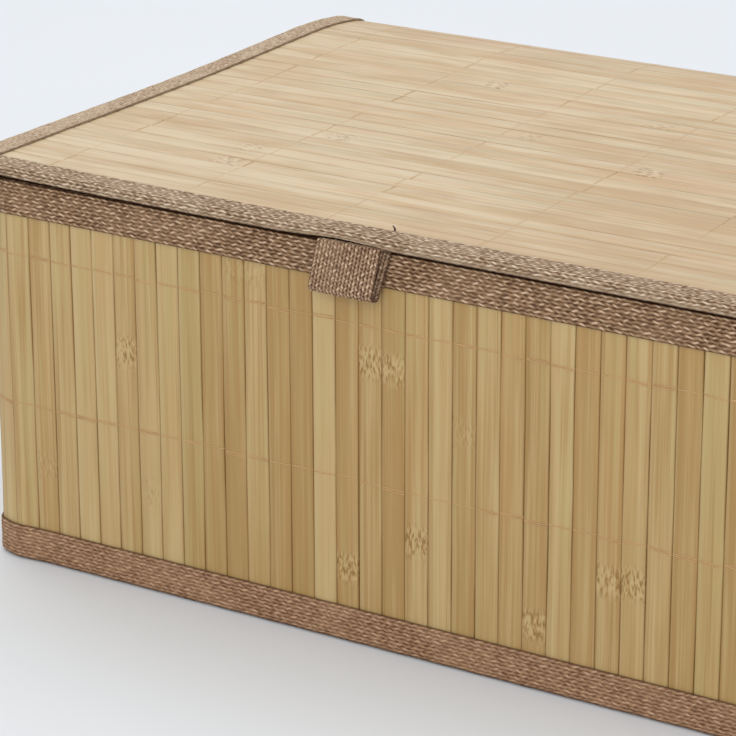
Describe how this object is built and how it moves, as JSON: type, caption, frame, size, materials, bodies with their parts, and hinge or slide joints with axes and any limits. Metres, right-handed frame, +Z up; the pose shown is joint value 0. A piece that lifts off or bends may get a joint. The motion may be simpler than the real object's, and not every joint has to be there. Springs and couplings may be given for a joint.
{
  "type": "storage box",
  "caption": "Lidded storage box of slatted bamboo mats over stiff boards, bound in woven webbing, with a lid that rolls open over its rear rim and a webbing pull tab.",
  "frame": {"origin": "centre of the walls' outline in plan, at the underside of the base, where the box stands", "axes": "+X to the right along the front wall, the front with the pull tab faces -Y, +Z is up"},
  "size_m": [0.2962, 0.2388, 0.1347],
  "materials": {
    "wall_bamboo": "satin",
    "lid_bamboo": "satin",
    "dark_webbing": "matte",
    "light_webbing": "matte",
    "thread": "matte",
    "backing_cloth": "matte",
    "lining_cloth": "matte",
    "board": "matte"
  },
  "bodies": {
    "box": {"front_slats": "wall_bamboo", "rear_slats": "wall_bamboo", "left_slats": "wall_bamboo", "right_slats": "wall_bamboo", "front_left_corner_slats": "wall_bamboo", "front_right_corner_slats": "wall_bamboo", "rear_left_corner_slats": "wall_bamboo", "rear_right_corner_slats": "wall_bamboo", "wall_backing": "backing_cloth", "wall_lining": "lining_cloth", "front_board": "board", "rear_board": "board", "left_board": "board", "right_board": "board", "wall_threads": "thread", "base_cover": "backing_cloth", "base_board": "board", "base_lining": "lining_cloth", "rim_binding": "dark_webbing", "base_binding": "dark_webbing", "flap_slats": "lid_bamboo", "flap_backing": "backing_cloth", "flap_threads": "thread", "flap_bindings": "light_webbing", "flap_hem": "light_webbing"},
    "hinge": {"hinge_slat": "lid_bamboo", "hinge_backing": "backing_cloth", "hinge_threads": "thread", "hinge_bindings": "light_webbing"},
    "lid": {"lid_slats": "lid_bamboo", "lid_rear_slats": "lid_bamboo", "lid_backing": "backing_cloth", "lid_threads": "thread", "lid_board": "board", "lid_lining": "lining_cloth", "lid_front_binding": "light_webbing", "lid_left_binding": "light_webbing", "lid_right_binding": "light_webbing"},
    "pull_tab": {"pull_tab": "dark_webbing"}
  },
  "joints": [
    {"name": "hinge_turn", "type": "hinge", "parent": "box", "child": "hinge", "pos_m": [0, 0.11691, 0.12275], "axis": [-1, 0, 0], "range_deg": [0, 38]},
    {"name": "lid_turn", "type": "hinge", "parent": "hinge", "child": "lid", "pos_m": [0, 0.11411, 0.13046], "axis": [-1, 0, 0], "range_deg": [0, 75]},
    {"name": "tab_turn", "type": "hinge", "parent": "lid", "child": "pull_tab", "pos_m": [-0.002, -0.11536, 0.12935], "axis": [-1, 0, 0], "range_deg": [-2, 95], "stiffness_Nm_per_rad": 0.002}
  ],
  "couplings": [
    {"joint": "hinge_turn", "follows": "lid_turn", "ratio": 0.5066}
  ]
}
